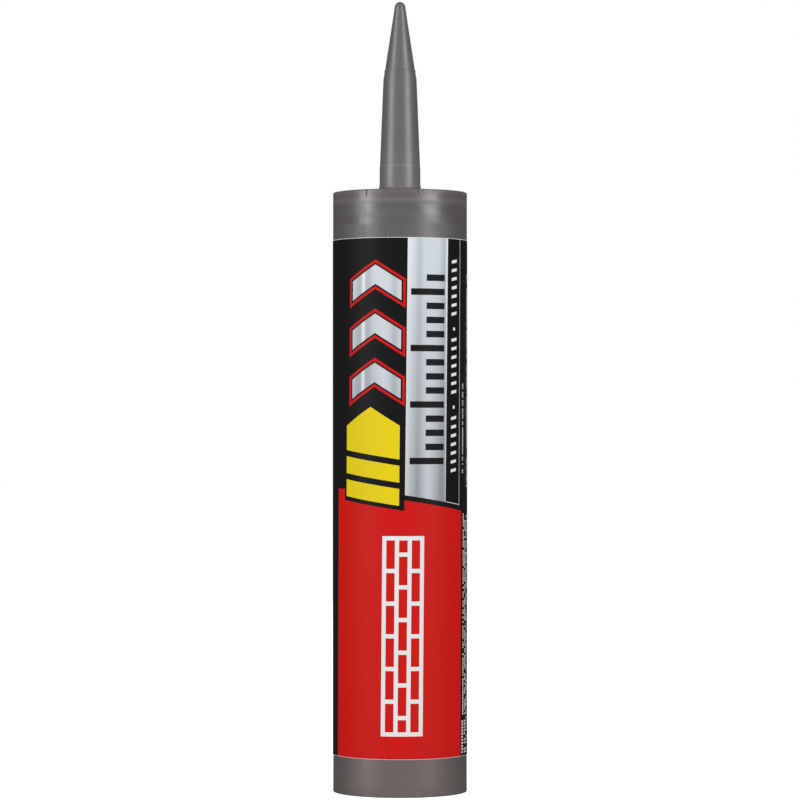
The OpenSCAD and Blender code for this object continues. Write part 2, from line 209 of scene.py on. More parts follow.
def grey_polyethylene():
    finish, tree, shader = new_finish("hdpe_grey_moulded", IOR=1.54, Specular_IOR_Level=0.72)
    where = add(tree, "ShaderNodeTexCoord").outputs["Object"]
    axes = add(tree, "ShaderNodeSeparateXYZ", {0: where}).outputs
    height = axes["Z"]

    # Turn round the axis counted from the first rib, in rib spacings
    turn = put(tree, "ShaderNodeMath", {0: axes["Y"], 1: axes["X"]}, operation="ARCTAN2")
    from_rib = total(tree, turn, -math.radians(rib_turn - 90))
    spacings = total(tree, times(tree, from_rib, rib_count / math.tau), 0.5)
    in_spacing = put(tree, "ShaderNodeMath", {0: spacings, 1: 1.0}, operation="FLOORED_MODULO")

    # Zones by height, most of them from the mould's own sizes
    past_rim = (rim_z + 0.6) * MM
    # The ribs sink the wall a little (bump and gloss below), and their shade seen through the thin wall
    # is painted into the colour as dark brown lines
    rib_sink_and_shade = times(tree, band(tree, in_spacing, 0.5, 0.034),
                     band(tree, height, (rib_top - 0.3) * MM, 3.2 * MM))
    # Painted light: a paler band at the shoulder plate's level, where the sunk wall catches the softboxes
    plate_painted_light = band(tree, height, (plate_top - 0.5) * MM, 1.6 * MM)
    # Painted light: the thin rim is tinted lighter and warmer, as light shining through it
    rim_painted_light = band(tree, height, past_rim, 4.6 * MM)
    # Painted light: the nozzle is tinted lighter, as it catches more light than the barrel, and its root
    # lighter still, against the shade of the rim and shoulder round it
    nozzle_zone = ramp(tree, height, past_rim, past_rim + 1.0 * MM, 0.0, 0.7)
    root_painted_light = times(tree, nozzle_zone, ramp(tree, height, 218 * MM, 234 * MM, 0.7, 0.0))
    # Painted light: the front of the foot is tinted lighter and warmer, as if lit by the floor's bounce;
    # the sides and back are not
    foot_painted_bounce = times(tree, ramp(tree, height, 14 * MM, 30 * MM, 1.0, 0.0),
                      ramp(tree, axes["Y"], -21 * MM, -10 * MM, 0.85, 0.1))
    # Painted highlight: a pale line round the top of the collar
    collar_painted_highlight = band(tree, height, (collar_z - 0.1) * MM, 0.4 * MM)

    # The gate was cut off beside the tip; the shade in its small scar is painted as a dark mark
    in_front = put(tree, "ShaderNodeMath", {0: axes["Y"], 1: 0.0}, operation="LESS_THAN")
    gate_painted_shade = times(tree, band(tree, axes["X"], 1.25 * MM, 0.5 * MM),
                 band(tree, height, (tip_z - 2.6) * MM, 1.4 * MM), in_front, 0.75)

    # Over the random tone, the tints below are painted light and shade: a lighter rim, foot front,
    # nozzle, root and plate band, dark rib lines and gate mark for shade, and a pale collar line for a
    # highlight
    colour = tinted(tree, linear("#504C4D"), noise(tree, where, 26), linear("#555152"))
    for share, tone in [(times(tree, rim_painted_light, 0.4), "#6A6560"), (foot_painted_bounce, "#655856"),
                        (nozzle_zone, "#5F5D5D"), (root_painted_light, "#7A7676"),
                        (times(tree, plate_painted_light, 0.5), "#6C6864"),
                        (times(tree, rib_sink_and_shade, 0.9), "#3B302A"), (gate_painted_shade, "#2B2929"),
                        (times(tree, collar_painted_highlight, 0.3), "#8E8B8B")]:
        colour = tinted(tree, colour, share, linear(tone))

    # Gloss: streaks along the barrel and blotches round it. The rim, the ribs and the gap under
    # the plate are duller, as is all below it. The nozzle is an even satin.
    streaks = noise(tree, where, 3.0, stretch=(1, 1, 0.06))
    blotches = noise(tree, where, 3.6, detail=0.0, stretch=(0.3, 0.3, 1))
    dull_rim = times(tree, band(tree, height, (rim_z + 0.2) * MM, 2.4 * MM), 0.25)
    dull_gap = times(tree, band(tree, height, plate_under * MM, 1.2 * MM), 0.3)
    dull_low = ramp(tree, height, 202.8 * MM, 204.8 * MM, 0.25, 0.0)
    marks = total(tree, times(tree, streaks, 0.4), blotches, dull_rim, dull_gap, dull_low, rib_sink_and_shade)
    on_barrel = ramp(tree, marks, 0.5, 1.3, 0.3, 0.58)
    rough = put(tree, "ShaderNodeMix", {"Factor": nozzle_zone, "A": on_barrel, "B": 0.42})

    # The wall sinks over the ribs and waves near the plate; there are faint lines and grain
    sink = noise(tree, where, 8.0, detail=0.0, stretch=(0.7, 0.7, 1.6))
    near_plate = ramp(tree, height, 198 * MM, 212 * MM, 0.25, 0.8)
    waves = times(tree, sink, near_plate, ramp(tree, height, past_rim, past_rim + 1.0 * MM, 1.0, 0.05))
    sunk = total(tree, waves, times(tree, rib_sink_and_shade, -0.16))
    lines = noise(tree, where, 1.6, detail=1.0, stretch=(0.12, 0.12, 1))
    grain = noise(tree, where, 0.35)
    wavy = put(tree, "ShaderNodeBump", {"Height": sunk, "Distance": 0.0003, "Strength": 1.0})
    lined = put(tree, "ShaderNodeBump", {"Height": lines, "Distance": 0.00003, "Strength": 0.6,
                                         "Normal": wavy})
    grainy = put(tree, "ShaderNodeBump", {"Height": grain, "Distance": 0.00001, "Strength": 0.35,
                                          "Normal": lined})
    connect(tree, shader, Base_Color=colour, Roughness=rough, Normal=grainy)
    return finish


grey_hdpe = grey_polyethylene()
print("finish:", grey_hdpe.name)

# %% [markdown]
# ## Finishes inside the tube
#
# The piston is natural HDPE, milky and satin. The adhesive is a tan paste, wet and a
# little lumpy. The seal is rolled aluminium foil of 0.1 mm: a metal keeps the default IOR
# and shows its rolling lines, here 0.4 mm apart, and the creases of handling.


# %% Natural polyethylene, paste and foil
def mottled(name, dark, light, tone_size, relief_size, depth, strength, stretch=(1, 1, 1), **numbers):
    """A finish of two close tones with a fine relief. Sizes and the depth are in mm."""
    finish, tree, shader = new_finish(name, **numbers)
    where = add(tree, "ShaderNodeTexCoord").outputs["Object"]
    tones = noise(tree, where, tone_size, stretch=stretch)
    relief = put(tree, "ShaderNodeBump", {"Height": noise(tree, where, relief_size),
                                          "Distance": depth * MM, "Strength": strength})
    connect(tree, shader, Base_Color=tinted(tree, linear(dark), tones, linear(light)), Normal=relief)
    return finish


natural_hdpe = mottled("hdpe_natural_moulded", "#D9D6CB", "#E2DFD6", 9, 0.4, 0.01, 0.4,
                       Roughness=0.42, IOR=1.54, Subsurface_Weight=0.15, Subsurface_Scale=0.001)
paste_finish = mottled("polyurethane_paste", "#A0967F", "#AEA48E", 4, 2.5, 0.2, 0.6,
                       Roughness=0.32, IOR=1.5)
foil_finish = mottled("aluminium_foil_rolled", "#C4C7CB", "#D3D5D8", 0.4, 3, 0.2, 0.5,
                      stretch=(1, 0.04, 1), Metallic=1.0, Roughness=0.3)
print("finishes:", natural_hdpe.name, paste_finish.name, foil_finish.name)

# %% [markdown]
# ## Finishes of the label
#
# The label is white polypropylene film, printed by flexography and sealed with a matt
# varnish: IOR 1.49, rough, with weak reflections. A flat ink isn't quite even, because
# the plate leaves a mottle of about half a millimetre, and the film keeps a faint
# waviness of the barrel under it. The silver is printed as a picture of polished metal,
# so its lighter and darker bands lie in the ink and run along the stripe, and mirrored on
# the chevrons beside it, with fine brushed lines across. They are read from the print's own
# flat map, which holds the place on the label in metres.


# %% Film and inks
def varnish(tree, shader, where, colour):
    """The mottle and the bump that all inks share, as on one matt varnished film."""
    mottle = noise(tree, where, 0.5)
    shaded = tinted(tree, colour, times(tree, mottle, 0.025), linear("#6E6E70"))
    waves = put(tree, "ShaderNodeBump", {"Height": noise(tree, where, 14), "Distance": 0.0001,
                                         "Strength": 0.35})
    connect(tree, shader, Base_Color=shaded, Normal=waves)


def film_and_ink(name, hex_colour, roughness=0.5, gloss=0.1):
    finish, tree, shader = new_finish(name, Roughness=roughness, IOR=1.49, Specular_IOR_Level=gloss)
    where = add(tree, "ShaderNodeTexCoord").outputs["Object"]
    varnish(tree, shader, where, linear(hex_colour))
    return finish


# Tone of the metal picture across the stripe, as (share of the width, hex), at its top and foot
metal_top = [(0.0, "#E6E9EE"), (0.09, "#DEE2E7"), (0.17, "#D1D8DD"), (0.28, "#BAC2C9"),
             (0.38, "#D0D7DD"), (0.75, "#D5DDE3"), (0.88, "#BBC2C9"), (0.945, "#C2C8CF"),
             (0.965, "#E9ECEF"), (1.0, "#EFF1F3")]
metal_foot = [(0.0, "#CDD0D3"), (0.09, "#B4B5BA"), (0.17, "#A2A5A9"), (0.26, "#8C9094"),
              (0.50, "#C7CED4"), (0.62, "#B7BDC2"), (0.84, "#85888C"), (0.945, "#8E9195"),
              (0.965, "#C6C8CA"), (1.0, "#CFD1D3")]
silver_left, silver_right = 1.9, 18.1


def ramp_of(tree, share, tones):
    node = add(tree, "ShaderNodeValToRGB", {0: share})
    marks = node.color_ramp.elements
    while len(marks) < len(tones):
        marks.new(0.5)
    for mark, (place, hex_colour) in zip(marks, tones):
        mark.position = place
        mark.color = linear(hex_colour)
    return node.outputs[0]


def silver_picture():
    finish, tree, shader = new_finish("ink_silver_picture", Roughness=0.45, IOR=1.49,
                                      Specular_IOR_Level=0.15)
    flat = put(tree, "ShaderNodeUVMap", uv_map="flat")
    place = add(tree, "ShaderNodeSeparateXYZ", {0: flat}).outputs
    widths = times(tree, total(tree, place["X"], -silver_left * MM),
                   1 / ((silver_right - silver_left) * MM))
    across = put(tree, "ShaderNodeMath", {0: widths, 1: 1.0}, operation="PINGPONG")
    along = ramp(tree, place["Y"], 88 * MM, 184 * MM, 0.0, 1.0)
    tone = tinted(tree, ramp_of(tree, across, metal_foot), along, ramp_of(tree, across, metal_top))
    where = add(tree, "ShaderNodeTexCoord").outputs["Object"]
    brushed = times(tree, noise(tree, where, 0.9, stretch=(0.08, 0.08, 1)), 0.2)
    varnish(tree, shader, where, tinted(tree, tone, brushed, linear("#A7ABB0")))
    return finish


white_film = film_and_ink("bopp_film_white", "#E9E9E6", 0.38, 0.4)
black_ink = film_and_ink("ink_black_matt", "#0E0E10")
red_ink = film_and_ink("ink_red_matt", "#CB130F")
yellow_ink = film_and_ink("ink_yellow_matt", "#E2CB12")
white_ink = film_and_ink("ink_white_matt", "#E4E5E6")
silver_ink = silver_picture()
print("label finishes:", white_film.name, black_ink.name, red_ink.name, yellow_ink.name,
      white_ink.name, silver_ink.name)

# %% [markdown]
# ## Running a geometry tree once
#
# What repeats or follows a rule comes from Geometry Nodes. A tree gets named inputs for
# its sizes. It is put on an object as a modifier, its inputs are set by their socket
# identifiers, and the evaluated result is kept as a plain mesh. The modifier then goes,
# because the finished part holds meshes only.


# %% Tree helpers
LENGTH, COUNT, FINISH = "NodeSocketFloat", "NodeSocketInt", "NodeSocketMaterial"


def new_tree(name, sizes):
    """An empty geometry tree with named inputs, and its start and end nodes."""
    tree = bpy.data.node_groups.new(name, "GeometryNodeTree")
    tree.interface.new_socket("Geometry", in_out="INPUT", socket_type="NodeSocketGeometry")
    for label, kind in sizes.items():
        tree.interface.new_socket(label, in_out="INPUT", socket_type=kind)
    tree.interface.new_socket("Geometry", in_out="OUTPUT", socket_type="NodeSocketGeometry")
    return tree, add(tree, "NodeGroupInput").outputs, add(tree, "NodeGroupOutput")


def end_tree(tree, finish_socket, mesh, out):
    """Shades smooth except at edges over 35 degrees, then makes real geometry with a finish."""
    smooth = put(tree, "GeometryNodeSetShadeSmooth", {"Geometry": mesh, "Shade Smooth": True})
    angle = add(tree, "GeometryNodeInputMeshEdgeAngle").outputs["Unsigned Angle"]
    sharp = put(tree, "FunctionNodeCompare", {0: angle, 1: math.radians(35)}, operation="GREATER_THAN")
    edged = put(tree, "GeometryNodeSetShadeSmooth", {"Geometry": smooth, "Selection": sharp,
                                                     "Shade Smooth": False}, domain="EDGE")
    real = put(tree, "GeometryNodeRealizeInstances", {"Geometry": edged})
    coated = put(tree, "GeometryNodeSetMaterial", {"Geometry": real, "Material": finish_socket})
    tree.links.new(coated, out.inputs[0])


def grown(name, start, tree, **sizes):
    """The plain object that a tree makes from a start mesh."""
    piece = bpy.data.objects.new(name, start)
    bpy.context.collection.objects.link(piece)
    grower = piece.modifiers.new("grow", "NODES")
    grower.node_group = tree
    sockets = {s.name.replace(" ", "_"): s.identifier for s in tree.interface.items_tree
               if s.in_out == "INPUT"}
    for label, value in sizes.items():
        grower[sockets[label]] = value
    result = bpy.data.meshes.new_from_object(piece.evaluated_get(bpy.context.evaluated_depsgraph_get()))
    piece.modifiers.clear()
    piece.data = result
    result.name = name
    print(name, "has", len(result.polygons), "faces")
    return piece


# %% [markdown]
# ## Lathe tree
#
# A bottle, a nozzle and a piston are all bodies of revolution. The start mesh is a chain
# of points, the half section. The tree makes a grid with one column for each step round
# the axis, gives each grid point the radius and height of its chain point, turns it by
# its column, and merges the seam and the poles. A Screw modifier could do this too, but
# the grid keeps the order of the chain, so the outside is always the side to the right
# of a walk along it.


# %% Lathe tree
def lathe_tree():
    tree, given, out = new_tree("turn_half_section", {"Steps": COUNT, "Finish": FINISH})
    chain = given["Geometry"]
    rows = add(tree, "GeometryNodeAttributeDomainSize", {"Geometry": chain}).outputs["Point Count"]
    columns = total(tree, given["Steps"], 1.0)
    grid = add(tree, "GeometryNodeMeshGrid", {"Vertices X": columns, "Vertices Y": rows})

    index = put(tree, "GeometryNodeInputIndex")
    row = put(tree, "ShaderNodeMath", {0: index, 1: rows}, operation="FLOORED_MODULO")
    ratio = put(tree, "ShaderNodeMath", {0: index, 1: rows}, operation="DIVIDE")
    column = put(tree, "ShaderNodeMath", {0: ratio}, operation="FLOOR")
    place = put(tree, "GeometryNodeInputPosition")
    sample = put(tree, "GeometryNodeSampleIndex", {"Geometry": chain, "Value": place, "Index": row},
                 data_type="FLOAT_VECTOR")
    section = add(tree, "ShaderNodeSeparateXYZ", {0: sample}).outputs

    share = put(tree, "ShaderNodeMath", {0: column, 1: given["Steps"]}, operation="DIVIDE")
    angle = times(tree, share, math.tau)
    sine, cosine = [put(tree, "ShaderNodeMath", {0: angle}, operation=kind)
                    for kind in ("SINE", "COSINE")]
    turned = put(tree, "ShaderNodeCombineXYZ", {"X": times(tree, section["X"], cosine),
                                                "Y": times(tree, section["X"], sine),
                                                "Z": section["Z"]})
    shaped = put(tree, "GeometryNodeSetPosition", {"Geometry": grid.outputs["Mesh"], "Position": turned})
    closed = put(tree, "GeometryNodeMergeByDistance", {"Geometry": shaped, "Distance": 0.000002})
    end_tree(tree, given["Finish"], closed, out)
    return tree


def chain_mesh(name, corners):
    """A chain of (radius, height) points in mm, as a mesh of edges."""
    mesh = bpy.data.meshes.new(name)
    mesh.from_pydata([(r * MM, 0, z * MM) for r, z in corners],
                     [(i, i + 1) for i in range(len(corners) - 1)], [])
    return mesh


def arc(centre, radius, start, end, steps):
    """Points on an arc, from one angle to another, in degrees."""
    turns = [math.radians(start + (end - start) * i / steps) for i in range(steps + 1)]
    return [(centre[0] + radius * math.cos(t), centre[1] + radius * math.sin(t)) for t in turns]


def path(*stops):
    """A chain through points. A whole number between two points is the steps from one to the other."""
    chain, steps = [], 1
    for stop in stops:
        if isinstance(stop, int):
            steps = stop
            continue
        for i in range(1, steps):
            chain.append(tuple(a + (b - a) * i / steps for a, b in zip(corner, stop)))
        chain.append(stop)
        corner, steps = stop, 1
    return chain


turn_section = lathe_tree()

# %% [markdown]
# ## Barrel, shoulder and nozzle
#
# The chain starts on the axis at the closed end of the nozzle's channel, runs down the
# inside, round the rear rim, up the outside, over the front rim, across the recessed
# shoulder, and up the nozzle to the tip. The moulder rounded each corner a little, and
# those small rounds catch the light. A fine bead of flash stands where the mould parted.


# %% Barrel piece
def cartridge_section():
    channel_end, under_round = tip_z - tip_close, 0.8
    hub_r = collar_r + root_r
    parting_z, parting_r = break_z + parting_at, break_r - parting_at * math.tan(tip_angle)
    dome = arc((0, dome_z), tip_r, math.degrees(tip_angle), 90, 8)
    dome[-1] = (0, tip_z)
    return path(
        # Channel and bore
        (0, channel_end), (channel_tip_r, channel_end), 5, (break_r - nozzle_wall, break_z),
        (channel_r, collar_z), (channel_r, plate_under + 0.3), (channel_r + 0.3, plate_under),
        *arc((bore_r - under_round, plate_under - under_round), under_round, 90, 0, 4), 16,
        (bore_r, entry_len + entry_relief), (entry_r, entry_len), (entry_r, 0.2), (entry_r + 0.15, 0),
        # Rear rim, wall and front rim
        *arc((barrel_r - foot_round, foot_round), foot_round, -90, 0, 4), 44,
        *arc((barrel_r - rim_round, rim_z - rim_round), rim_round, 0, 90, 6),
        *arc((bore_r + lip_round, rim_z - lip_round), lip_round, 90, 180, 3),
        # Shoulder plate, hub and the nozzle's root
        (bore_r, plate_top + 1.6),
        *arc((bore_r - plate_round, plate_top + plate_round), plate_round, 0, -90, 4),
        (hub_r + 0.3, plate_top), (hub_r + 0.1, plate_top + 0.2), (hub_r, plate_top + 0.6),
        *arc((hub_r - hub_round, hub_top - hub_round), hub_round, 0, 60, 2),
        *arc((hub_r, hub_top + root_r), root_r, 262, 180, 12),
        # Nozzle, with its ring line, the break of its taper and the bead of flash
        (collar_r, collar_z - 1.5), (collar_r, collar_z - 0.6), (collar_r - ring_line, collar_z),
        (collar_r - ring_line, collar_z + 0.25), 6, (break_r + 0.02, break_z - 0.3),
        (break_r - 0.04, break_z + 0.3), (parting_r, parting_z - 0.1),
        (parting_r + parting_step, parting_z + 0.15), (parting_r + parting_step, parting_z + 0.5),
        (parting_r - 0.15, parting_z + 0.6), 7, *dome)


barrel = grown("barrel_and_nozzle", chain_mesh("section", cartridge_section()), turn_section,
               Steps=160, Finish=grey_hdpe)

# %% [markdown]
# ## Ring tree and the shoulder's ribs
#
# Eight thin ribs tie the nozzle to the rim, and six webs stiffen the piston. Both are one
# solid, repeated round the axis, so one small tree serves them: points, one for each
# copy, each turned by its share of the circle, then made real. A rib is thicker at its
# foot, as draft lets it leave the mould, and its top edges are rounded.


# %% Ring tree and ribs
def ring_tree():
    tree, given, out = new_tree("repeat_round_axis", {"Copies": COUNT, "First": LENGTH,
                                                      "Finish": FINISH})
    points = put(tree, "GeometryNodePoints", {"Count": given["Copies"]})
    index = put(tree, "GeometryNodeInputIndex")
    share = put(tree, "ShaderNodeMath", {0: index, 1: given["Copies"]}, operation="DIVIDE")
    angle = put(tree, "ShaderNodeMath", {0: share, 1: math.tau, 2: given["First"]},
                operation="MULTIPLY_ADD")
    spin = put(tree, "ShaderNodeCombineXYZ", {"Z": angle})
    copies = put(tree, "GeometryNodeInstanceOnPoints", {"Points": points, "Instance": given["Geometry"],
                                                        "Rotation": spin})
    real = put(tree, "GeometryNodeRealizeInstances", {"Geometry": copies})
    end_tree(tree, given["Finish"], real, out)
    return tree


def slab(name, outline, near, far, steps=6):
    """A bar along +X with that outline of (y, z) points, in mm, between two radii."""
    bar = bmesh.new()
    rings = []
    for i in range(steps + 1):
        x = near + (far - near) * i / steps
        rings.append([bar.verts.new((x * MM, y * MM, z * MM)) for y, z in outline])
    for ring, following in zip(rings, rings[1:]):
        for i in range(len(outline)):
            j = (i + 1) % len(outline)
            bar.faces.new((ring[i], ring[j], following[j], following[i]))
    bar.faces.new(rings[0])
    bar.faces.new(rings[-1])
    bmesh.ops.recalc_face_normals(bar, faces=bar.faces)
    mesh = bpy.data.meshes.new(name)
    bar.to_mesh(mesh)
    bar.free()
    return mesh


def rib_outline(foot, top, half, flare, round_r):
    """Half a rib's outline and its mirror: a flared foot, drafted sides, a rounded top."""
    side = [(half + flare, foot - 0.2), (half + flare, foot), (half + 0.4 * flare, foot + 0.25 * flare),
            (half + 0.1, foot + flare), (half, top - round_r),
            *[(half - round_r + y, top - round_r + z) for y, z in arc((0, 0), round_r, 20, 90, 3)]]
    return side + [(-y, z) for y, z in reversed(side)]


repeat_round = ring_tree()
rib = slab("rib", rib_outline(plate_top, rib_top, rib_t / 2, 0.5, 0.2), collar_r - 0.4, bore_r + 0.3)
ribs = grown("shoulder_ribs", rib, repeat_round, Copies=rib_count,
             First=math.radians(rib_turn - 90), Finish=grey_hdpe)

# %% [markdown]
# ## Piston
#
# The gun's plate pushes this cup from behind. Two lips wipe the bore, a waist between
# them keeps the friction low, and webs run from a central boss to the skirt. It is seen
# through the open rear end.

# %% Piston pieces
piston_rear, piston_front, lip_r, waist_r, lip_h = 32.4, 52.4, 23.02, 22.32, 2.4
skirt_in, face_under, boss_out, boss_in = waist_r - 1.5, 50.6, 5.5, 4.0

piston_section = path(
    (0, face_under), *arc((boss_in - 0.4, face_under - 0.4), 0.4, 90, 0, 3),
    (boss_in, piston_rear + 0.2), (boss_in + 0.2, piston_rear), (boss_out - 0.2, piston_rear),
    (boss_out, piston_rear + 0.2), *arc((boss_out + 0.5, face_under - 0.5), 0.5, 180, 90, 3),
    *arc((skirt_in - 0.6, face_under - 0.6), 0.6, 90, 0, 4),
    (skirt_in, piston_rear + 0.3), (skirt_in + 0.3, piston_rear), (lip_r - 0.25, piston_rear),
    *arc((lip_r - 0.25, piston_rear + 0.25), 0.25, -60, 0, 2),
    (lip_r, piston_rear + lip_h - 0.6), (waist_r + 0.2, piston_rear + lip_h),
    (waist_r, piston_rear + lip_h + 0.3), 6, (waist_r, piston_front - lip_h - 0.3),
    (waist_r + 0.2, piston_front - lip_h), (lip_r, piston_front - lip_h + 0.6),
    *arc((lip_r - 0.3, piston_front - 0.3), 0.3, 0, 90, 3), 6, (0, piston_front))
piston = grown("sealing_piston", chain_mesh("piston_section", piston_section), turn_section,
               Steps=120, Finish=natural_hdpe)
web = slab("web", rib_outline(-face_under, -piston_rear - 0.02, 0.55, 0.4, 0.2), boss_out - 0.4,
           skirt_in + 0.3)
for corner in web.vertices:
    corner.co.z = -corner.co.z
web.flip_normals()
webs = grown("piston_webs", web, repeat_round, Copies=6, First=0.0, Finish=natural_hdpe)

# %% [markdown]
# ## Adhesive and foil
#
# The adhesive fills the bore between the piston and the foil. As the piston comes forward, the gun would
# push it out through the nozzle. The foil keeps its CAD shape, because a disc of 0.1 mm has no more to
# show.

# %% Adhesive and foil
paste_r, foil_under = 23.0, 210.9
paste_section = path((0, piston_front), 5, (paste_r, piston_front), 20, (paste_r, foil_under), 5,
                     (0, foil_under))
paste = grown("adhesive_column", chain_mesh("paste_section", paste_section), turn_section,
              Steps=96, Finish=paste_finish)
for cad_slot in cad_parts["inner_seal"].material_slots:
    cad_slot.material = foil_finish

# %% [markdown]
# ## The flat label
#
# A wrap label is printed flat and then rolled on, and it is made the same way here. A
# place on it is (s, h): s is the way round the barrel from the middle of the front, and h
# the height above the print's foot. The film was fed half a degree askew, so every shape
# is leaned before it is cut.
#
# Inks lie in thin layers over the film: the black ground, then the large fields, then
# what is printed on those, then the finest shapes. Most of the label's sizes repeat the
# CAD source too. The red field and the print's upper end follow the photograph more
# closely, by 1 mm at most.

# %% Sizes and frame of the label
film_t, ink_t, print_r = 0.1, 0.012, 24.3
print_foot, print_tall, label_mid, edge_margin = 13.95, 183.95, 106.1, 0.45
bleed, foot_bleed = 0.3, 0.33
print_lean = math.tan(math.radians(0.5))
seam_turn, seam_w = 205.0, 6.0
seam_s = math.radians(seam_turn) * print_r
round_s = math.tau * print_r
label_start, label_end = seam_s - seam_w / 2 - round_s, seam_s + seam_w / 2
GROUND, FIELD, MOTIF, FINEST = 0, 1, 2, 3


def leaned(s, h):
    return s + (h + print_foot - label_mid) * print_lean


def flat_sheet(name, shapes):
    """A flat mesh of shapes, as (corners, layer), cut every millimetre so that it can bend."""
    sheet = bmesh.new()
    for corners, layer in shapes:
        lift = 0 if layer is None else film_t + layer * ink_t
        face = sheet.faces.new([sheet.verts.new((leaned(s, h) * MM, h * MM, lift * MM))
                                for s, h in corners])
        face.normal_update()
        if face.normal.z < 0:
            face.normal_flip()
    drawn = sum(face.calc_area() for face in sheet.faces)
    reach = [v.co.x / MM for v in sheet.verts]
    for s in range(math.ceil(min(reach)), math.floor(max(reach)) + 1):
        bmesh.ops.bisect_plane(sheet, geom=[*sheet.verts, *sheet.edges, *sheet.faces], dist=1e-7,
                               plane_co=(s * MM, 0, 0), plane_no=(1, 0, 0))
    flat = sheet.loops.layers.uv.new("flat")
    for face in sheet.faces:
        for loop in face.loops:
            x, h = loop.vert.co.x / MM, loop.vert.co.y / MM
            loop[flat].uv = ((x - leaned(0, h)) * MM, h * MM)
    mesh = bpy.data.meshes.new(name)
    sheet.to_mesh(mesh)
    kept = sum(face.calc_area() for face in sheet.faces)
    print(name, "drawn", round(drawn * 1e6, 1), "mm2, after cutting", round(kept * 1e6, 1))
    sheet.free()
    return mesh


# %% [markdown]
# ## Rolling tree
#
# The tree thickens a flat sheet and bends it round the axis: s becomes an angle, h a
# height, and the layer's lift an extra radius. The label's end laps over its start, so
# past a given s it rises by a film's thickness.


# %% Rolling tree
def rolling_tree():
    tree, given, out = new_tree("roll_flat_sheet", {"Thickness": LENGTH, "Finish": FINISH})
    up = put(tree, "ShaderNodeCombineXYZ", {"Z": given["Thickness"]})
    raised = add(tree, "GeometryNodeExtrudeMesh", {"Mesh": given["Geometry"], "Offset": up,
                                                   "Offset Scale": 1.0, "Individual": False})
    under = put(tree, "GeometryNodeFlipFaces", {"Mesh": given["Geometry"]})
    both = add(tree, "GeometryNodeJoinGeometry")
    tree.links.new(raised.outputs["Mesh"], both.inputs[0])
    tree.links.new(under, both.inputs[0])
    solid = put(tree, "GeometryNodeMergeByDistance", {"Geometry": both.outputs[0], "Distance": 0.000001})

    flat = add(tree, "ShaderNodeSeparateXYZ", {0: put(tree, "GeometryNodeInputPosition")}).outputs
    lap_start = (seam_s - seam_w / 2 - 2.2) * MM
    lap = ramp(tree, flat["X"], lap_start, lap_start + 1.8 * MM, 0.0, 0.15 * MM,
               interpolation_type="SMOOTHSTEP")
    radius = total(tree, flat["Z"], lap, barrel_r * MM)
    angle = times(tree, flat["X"], 1 / (print_r * MM))
    sine, cosine = [put(tree, "ShaderNodeMath", {0: angle}, operation=kind)
                    for kind in ("SINE", "COSINE")]
    height = total(tree, flat["Y"], print_foot * MM)
    rolled = put(tree, "ShaderNodeCombineXYZ", {"X": times(tree, radius, sine),
                                                "Y": times(tree, radius, cosine, -1.0),
                                                "Z": height})
    bent = put(tree, "GeometryNodeSetPosition", {"Geometry": solid, "Position": rolled})
    end_tree(tree, given["Finish"], bent, out)
    return tree


roll_sheet = rolling_tree()


def rolled_label(name, shapes, finish, thickness=ink_t):
    return grown(name, flat_sheet(name, shapes), roll_sheet, Thickness=thickness * MM, Finish=finish)


# %% [markdown]
# ## Film and black ground
#
# The film is the whole label. The black ground covers all of it but a hairline along the
# upper and lower edges, where the white film shows. The hairline is finer than in the
# CAD model, whose thinnest lines are set by what it can mesh.

# %% Film and ground
def box(s, h, wide, tall):
    return [(s, h), (s + wide, h), (s + wide, h + tall), (s, h + tall)]


label_w = label_end - label_start
film = rolled_label("label_film_wrap", [(box(label_start, -edge_margin, label_w,
                                             print_tall + 2 * edge_margin), None)],
                    white_film, film_t)
ground = rolled_label("print_black_ground", [
    (box(label_start, -foot_bleed, label_w, print_tall + foot_bleed + bleed), GROUND)], black_ink)

# %% [markdown]
# ## Fields of the front
#
# The front has a red field with a slanted, stepped edge, a silver stripe above it with a
# thin rule at its side, a yellow arrow over two bars, and three silver chevrons with a
# red line round them. The motifs are generic: the arrow and the chevrons point to the
# nozzle, the bars on the stripe read as a gauge, and the brick bond says what the
# adhesive is for.

# %% Shapes of the front
red_half, red_h, step_x, ear_w, ear_h = 27.4, 91.3, 1.6, 4.6, 3.9
fall_left, fall_right, silver_gap, rule_x, rule_w = 3.8, 4.1, 1.85, 25.45, 0.22


def edge_left(s):
    return red_h - fall_left * (s + red_half - ear_w) / (step_x + red_half - ear_w)


def edge_right(s):
    return red_h - fall_right * (s - step_x) / (red_half - step_x)


red_field = [(-red_half, -foot_bleed), (red_half, -foot_bleed), (red_half, edge_right(red_half)),
             (step_x, edge_right(step_x)), (step_x, edge_left(step_x)),
             (ear_w - red_half, edge_left(ear_w - red_half)), (ear_w - red_half, red_h + ear_h),
             (-red_half, red_h + ear_h)]
silver_stripe = [(silver_left - 0.15, edge_right(silver_left) + silver_gap),
                 (silver_right - 0.35, edge_right(silver_right) + silver_gap),
                 (silver_right + 0.1, print_tall + bleed), (silver_left + 0.1, print_tall + bleed)]
thin_rule = [(rule_x, print_tall + bleed), (rule_x, edge_right(rule_x) + silver_gap + rule_w),
             (silver_right, edge_right(silver_right) + silver_gap + rule_w),
             (silver_right, edge_right(silver_right) + silver_gap),
             (rule_x + rule_w, edge_right(rule_x + rule_w) + silver_gap),
             (rule_x + rule_w, print_tall + bleed)]

